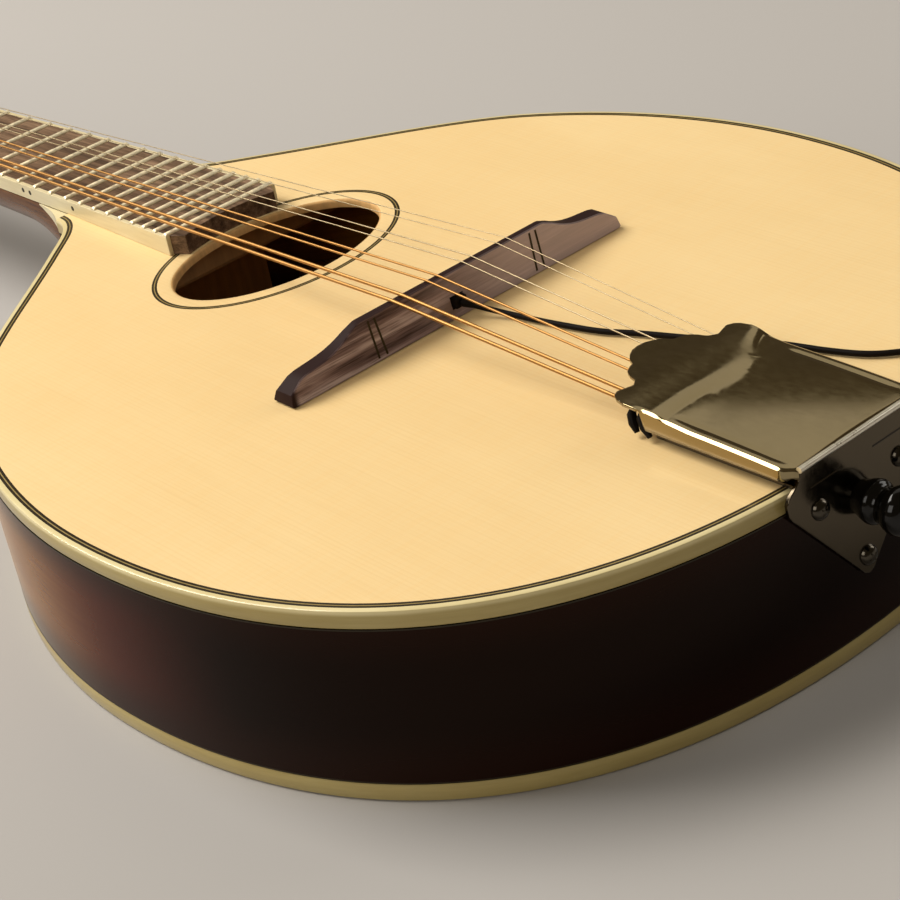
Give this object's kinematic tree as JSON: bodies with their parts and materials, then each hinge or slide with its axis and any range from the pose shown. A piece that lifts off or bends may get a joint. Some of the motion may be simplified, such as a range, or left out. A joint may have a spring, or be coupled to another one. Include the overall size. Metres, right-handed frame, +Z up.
{
  "type": "mandolin",
  "caption": "Flat-top teardrop mandolin with oval sound hole, paired strings, floating bridge, slide-on tailpiece cover and geared tuners.",
  "frame": {"origin": "on the flat back's outer face, under the theoretical saddle line on the centre line", "axes": "+Y from the tail to the headstock, +X to the treble side, +Z up from the back towards the strings"},
  "size_m": [0.2646, 0.6538, 0.0673],
  "materials": {
    "spruce_top": "gloss lacquer over straight-grained spruce",
    "rosette_inlay": "polished flush with the top",
    "sunburst_wood": "high gloss brown-to-black sunburst lacquer",
    "ivory_binding": "polished under lacquer",
    "bracing_wood": "bare sanded wood",
    "neck_wood": "high gloss dark brown lacquer",
    "ebony_veneer": "gloss",
    "rod_steel": "plain",
    "rosewood_board": "oiled, with polished nickel frets",
    "bone_nut": "polished bone look",
    "wound_bronze": "bright round-wound bronze",
    "plain_steel": "bright plain wire",
    "bridge_rosewood": "satin oiled",
    "black_rubber": "satin",
    "jack_nickel": "polished",
    "nickel_plate": "polished nickel plate",
    "screw_nickel": "polished",
    "pin_black": "gloss black",
    "tuner_nickel": "polished nickel plate",
    "post_nickel": "polished",
    "button_pearl": "polished pearloid"
  },
  "bodies": {
    "body": {"soundboard": "spruce_top", "rosette": "rosette_inlay", "back_plate": "sunburst_wood", "side_bass": "sunburst_wood", "side_treble": "sunburst_wood", "binding_top": "ivory_binding", "binding_back": "ivory_binding", "fingerboard_binding_bass": "ivory_binding", "fingerboard_binding_treble": "ivory_binding", "lining_top_bass": "bracing_wood", "lining_top_treble": "bracing_wood", "lining_back_bass": "bracing_wood", "lining_back_treble": "bracing_wood", "tail_block": "bracing_wood", "neck_block": "bracing_wood", "brace_soundhole": "bracing_wood", "brace_bridge": "bracing_wood", "brace_back": "bracing_wood", "neck": "neck_wood", "headstock_veneer": "ebony_veneer", "heel_cap": "ebony_veneer", "truss_rod": "rod_steel", "fingerboard": "rosewood_board", "nut": "bone_nut", "string_g1": "wound_bronze", "string_g2": "wound_bronze", "string_d1": "wound_bronze", "string_d2": "wound_bronze", "string_a1": "plain_steel", "string_a2": "plain_steel", "string_e1": "plain_steel", "string_e2": "plain_steel", "bridge": "bridge_rosewood", "bridge_pickup": "black_rubber", "pickup_lead": "black_rubber", "jack": "jack_nickel", "tailpiece_base": "nickel_plate", "tailpiece_screw_1": "screw_nickel", "tailpiece_screw_2": "screw_nickel", "tailpiece_screw_3": "screw_nickel", "end_pin": "pin_black", "tuner_plate_bass": "tuner_nickel", "tuner_plate_treble": "tuner_nickel"},
    "cover": {"tailpiece_cover": "nickel_plate"},
    "post_bass_1": {"post_bass_1": "post_nickel"},
    "knob_bass_1": {"knob_bass_1": "button_pearl"},
    "post_bass_2": {"post_bass_2": "post_nickel"},
    "knob_bass_2": {"knob_bass_2": "button_pearl"},
    "post_bass_3": {"post_bass_3": "post_nickel"},
    "knob_bass_3": {"knob_bass_3": "button_pearl"},
    "post_bass_4": {"post_bass_4": "post_nickel"},
    "knob_bass_4": {"knob_bass_4": "button_pearl"},
    "post_treble_1": {"post_treble_1": "post_nickel"},
    "knob_treble_1": {"knob_treble_1": "button_pearl"},
    "post_treble_2": {"post_treble_2": "post_nickel"},
    "knob_treble_2": {"knob_treble_2": "button_pearl"},
    "post_treble_3": {"post_treble_3": "post_nickel"},
    "knob_treble_3": {"knob_treble_3": "button_pearl"},
    "post_treble_4": {"post_treble_4": "post_nickel"},
    "knob_treble_4": {"knob_treble_4": "button_pearl"}
  },
  "joints": [
    {"name": "cover_slide", "type": "slide", "parent": "body", "child": "cover", "axis": [0, 0.997, 0.0774], "range_m": [0, 0.012]},
    {"name": "knob_bass_1_turn", "type": "hinge", "parent": "body", "child": "knob_bass_1", "pos_m": [-0.017, 0.38323, 0.02583], "axis": [1, 0, 0], "continuous": true},
    {"name": "post_bass_1_turn", "type": "hinge", "parent": "body", "child": "post_bass_1", "pos_m": [-0.017, 0.37863, 0.04648], "axis": [0, 0.1908, 0.9816], "continuous": true},
    {"name": "knob_bass_2_turn", "type": "hinge", "parent": "body", "child": "knob_bass_2", "pos_m": [-0.017, 0.4058, 0.02144], "axis": [1, 0, 0], "continuous": true},
    {"name": "post_bass_2_turn", "type": "hinge", "parent": "body", "child": "post_bass_2", "pos_m": [-0.017, 0.40121, 0.0421], "axis": [0, 0.1908, 0.9816], "continuous": true},
    {"name": "knob_bass_3_turn", "type": "hinge", "parent": "body", "child": "knob_bass_3", "pos_m": [-0.017, 0.42838, 0.01705], "axis": [1, 0, 0], "continuous": true},
    {"name": "post_bass_3_turn", "type": "hinge", "parent": "body", "child": "post_bass_3", "pos_m": [-0.017, 0.42379, 0.03771], "axis": [0, 0.1908, 0.9816], "continuous": true},
    {"name": "knob_bass_4_turn", "type": "hinge", "parent": "body", "child": "knob_bass_4", "pos_m": [-0.017, 0.45096, 0.01266], "axis": [1, 0, 0], "continuous": true},
    {"name": "post_bass_4_turn", "type": "hinge", "parent": "body", "child": "post_bass_4", "pos_m": [-0.017, 0.44637, 0.03332], "axis": [0, 0.1908, 0.9816], "continuous": true},
    {"name": "knob_treble_1_turn", "type": "hinge", "parent": "body", "child": "knob_treble_1", "pos_m": [0.017, 0.38323, 0.02583], "axis": [1, 0, 0], "continuous": true},
    {"name": "post_treble_1_turn", "type": "hinge", "parent": "body", "child": "post_treble_1", "pos_m": [0.017, 0.37863, 0.04648], "axis": [0, 0.1908, 0.9816], "continuous": true},
    {"name": "knob_treble_2_turn", "type": "hinge", "parent": "body", "child": "knob_treble_2", "pos_m": [0.017, 0.4058, 0.02144], "axis": [1, 0, 0], "continuous": true},
    {"name": "post_treble_2_turn", "type": "hinge", "parent": "body", "child": "post_treble_2", "pos_m": [0.017, 0.40121, 0.0421], "axis": [0, 0.1908, 0.9816], "continuous": true},
    {"name": "knob_treble_3_turn", "type": "hinge", "parent": "body", "child": "knob_treble_3", "pos_m": [0.017, 0.42838, 0.01705], "axis": [1, 0, 0], "continuous": true},
    {"name": "post_treble_3_turn", "type": "hinge", "parent": "body", "child": "post_treble_3", "pos_m": [0.017, 0.42379, 0.03771], "axis": [0, 0.1908, 0.9816], "continuous": true},
    {"name": "knob_treble_4_turn", "type": "hinge", "parent": "body", "child": "knob_treble_4", "pos_m": [0.017, 0.45096, 0.01266], "axis": [1, 0, 0], "continuous": true},
    {"name": "post_treble_4_turn", "type": "hinge", "parent": "body", "child": "post_treble_4", "pos_m": [0.017, 0.44637, 0.03332], "axis": [0, 0.1908, 0.9816], "continuous": true}
  ],
  "couplings": [
    {"joint": "post_bass_1_turn", "follows": "knob_bass_1_turn", "ratio": 0.071429},
    {"joint": "post_bass_2_turn", "follows": "knob_bass_2_turn", "ratio": 0.071429},
    {"joint": "post_bass_3_turn", "follows": "knob_bass_3_turn", "ratio": 0.071429},
    {"joint": "post_bass_4_turn", "follows": "knob_bass_4_turn", "ratio": 0.071429},
    {"joint": "post_treble_1_turn", "follows": "knob_treble_1_turn", "ratio": -0.071429},
    {"joint": "post_treble_2_turn", "follows": "knob_treble_2_turn", "ratio": -0.071429},
    {"joint": "post_treble_3_turn", "follows": "knob_treble_3_turn", "ratio": -0.071429},
    {"joint": "post_treble_4_turn", "follows": "knob_treble_4_turn", "ratio": -0.071429}
  ]
}
